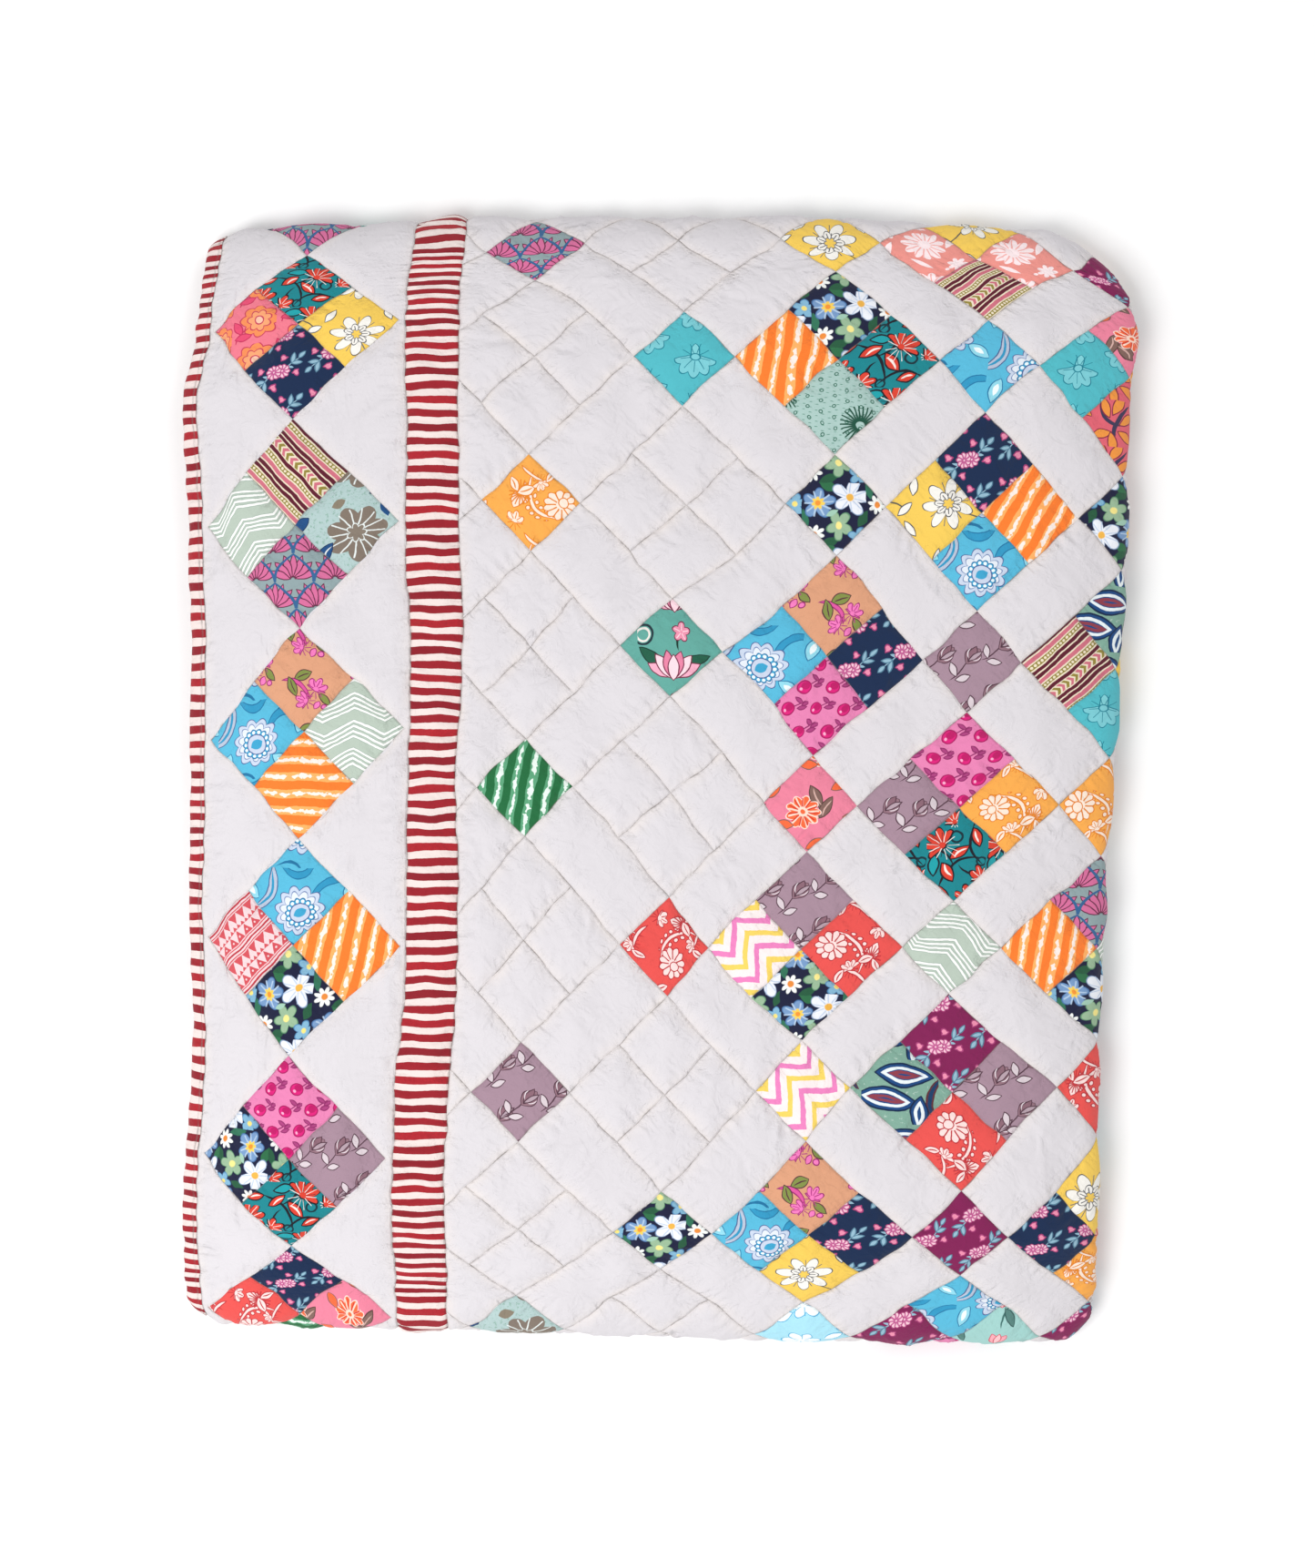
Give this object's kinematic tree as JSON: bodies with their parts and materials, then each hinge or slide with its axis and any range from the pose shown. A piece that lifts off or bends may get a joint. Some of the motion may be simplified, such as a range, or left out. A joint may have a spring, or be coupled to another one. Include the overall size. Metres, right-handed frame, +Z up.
{
  "type": "folded patchwork quilt",
  "caption": "Quilt of small squares set on point, folded in half across its width with both ends tucked under, with a striped bound edge.",
  "frame": {"origin": "middle of the folded quilt's footprint, on the surface it lies on", "axes": "+Z up from the surface, +Y along the longer side of the folded quilt, +X towards the soft side fold and away from the bound edge"},
  "size_m": [0.923, 1.0912, 0.0766],
  "materials": {
    "patchwork_cotton": "printed and plain woven cotton patches, quilted, matte",
    "striped_binding": "striped woven cotton, matte"
  },
  "bodies": {
    "root": {"quilt": "patchwork_cotton", "binding": "striped_binding"}
  },
  "joints": []
}
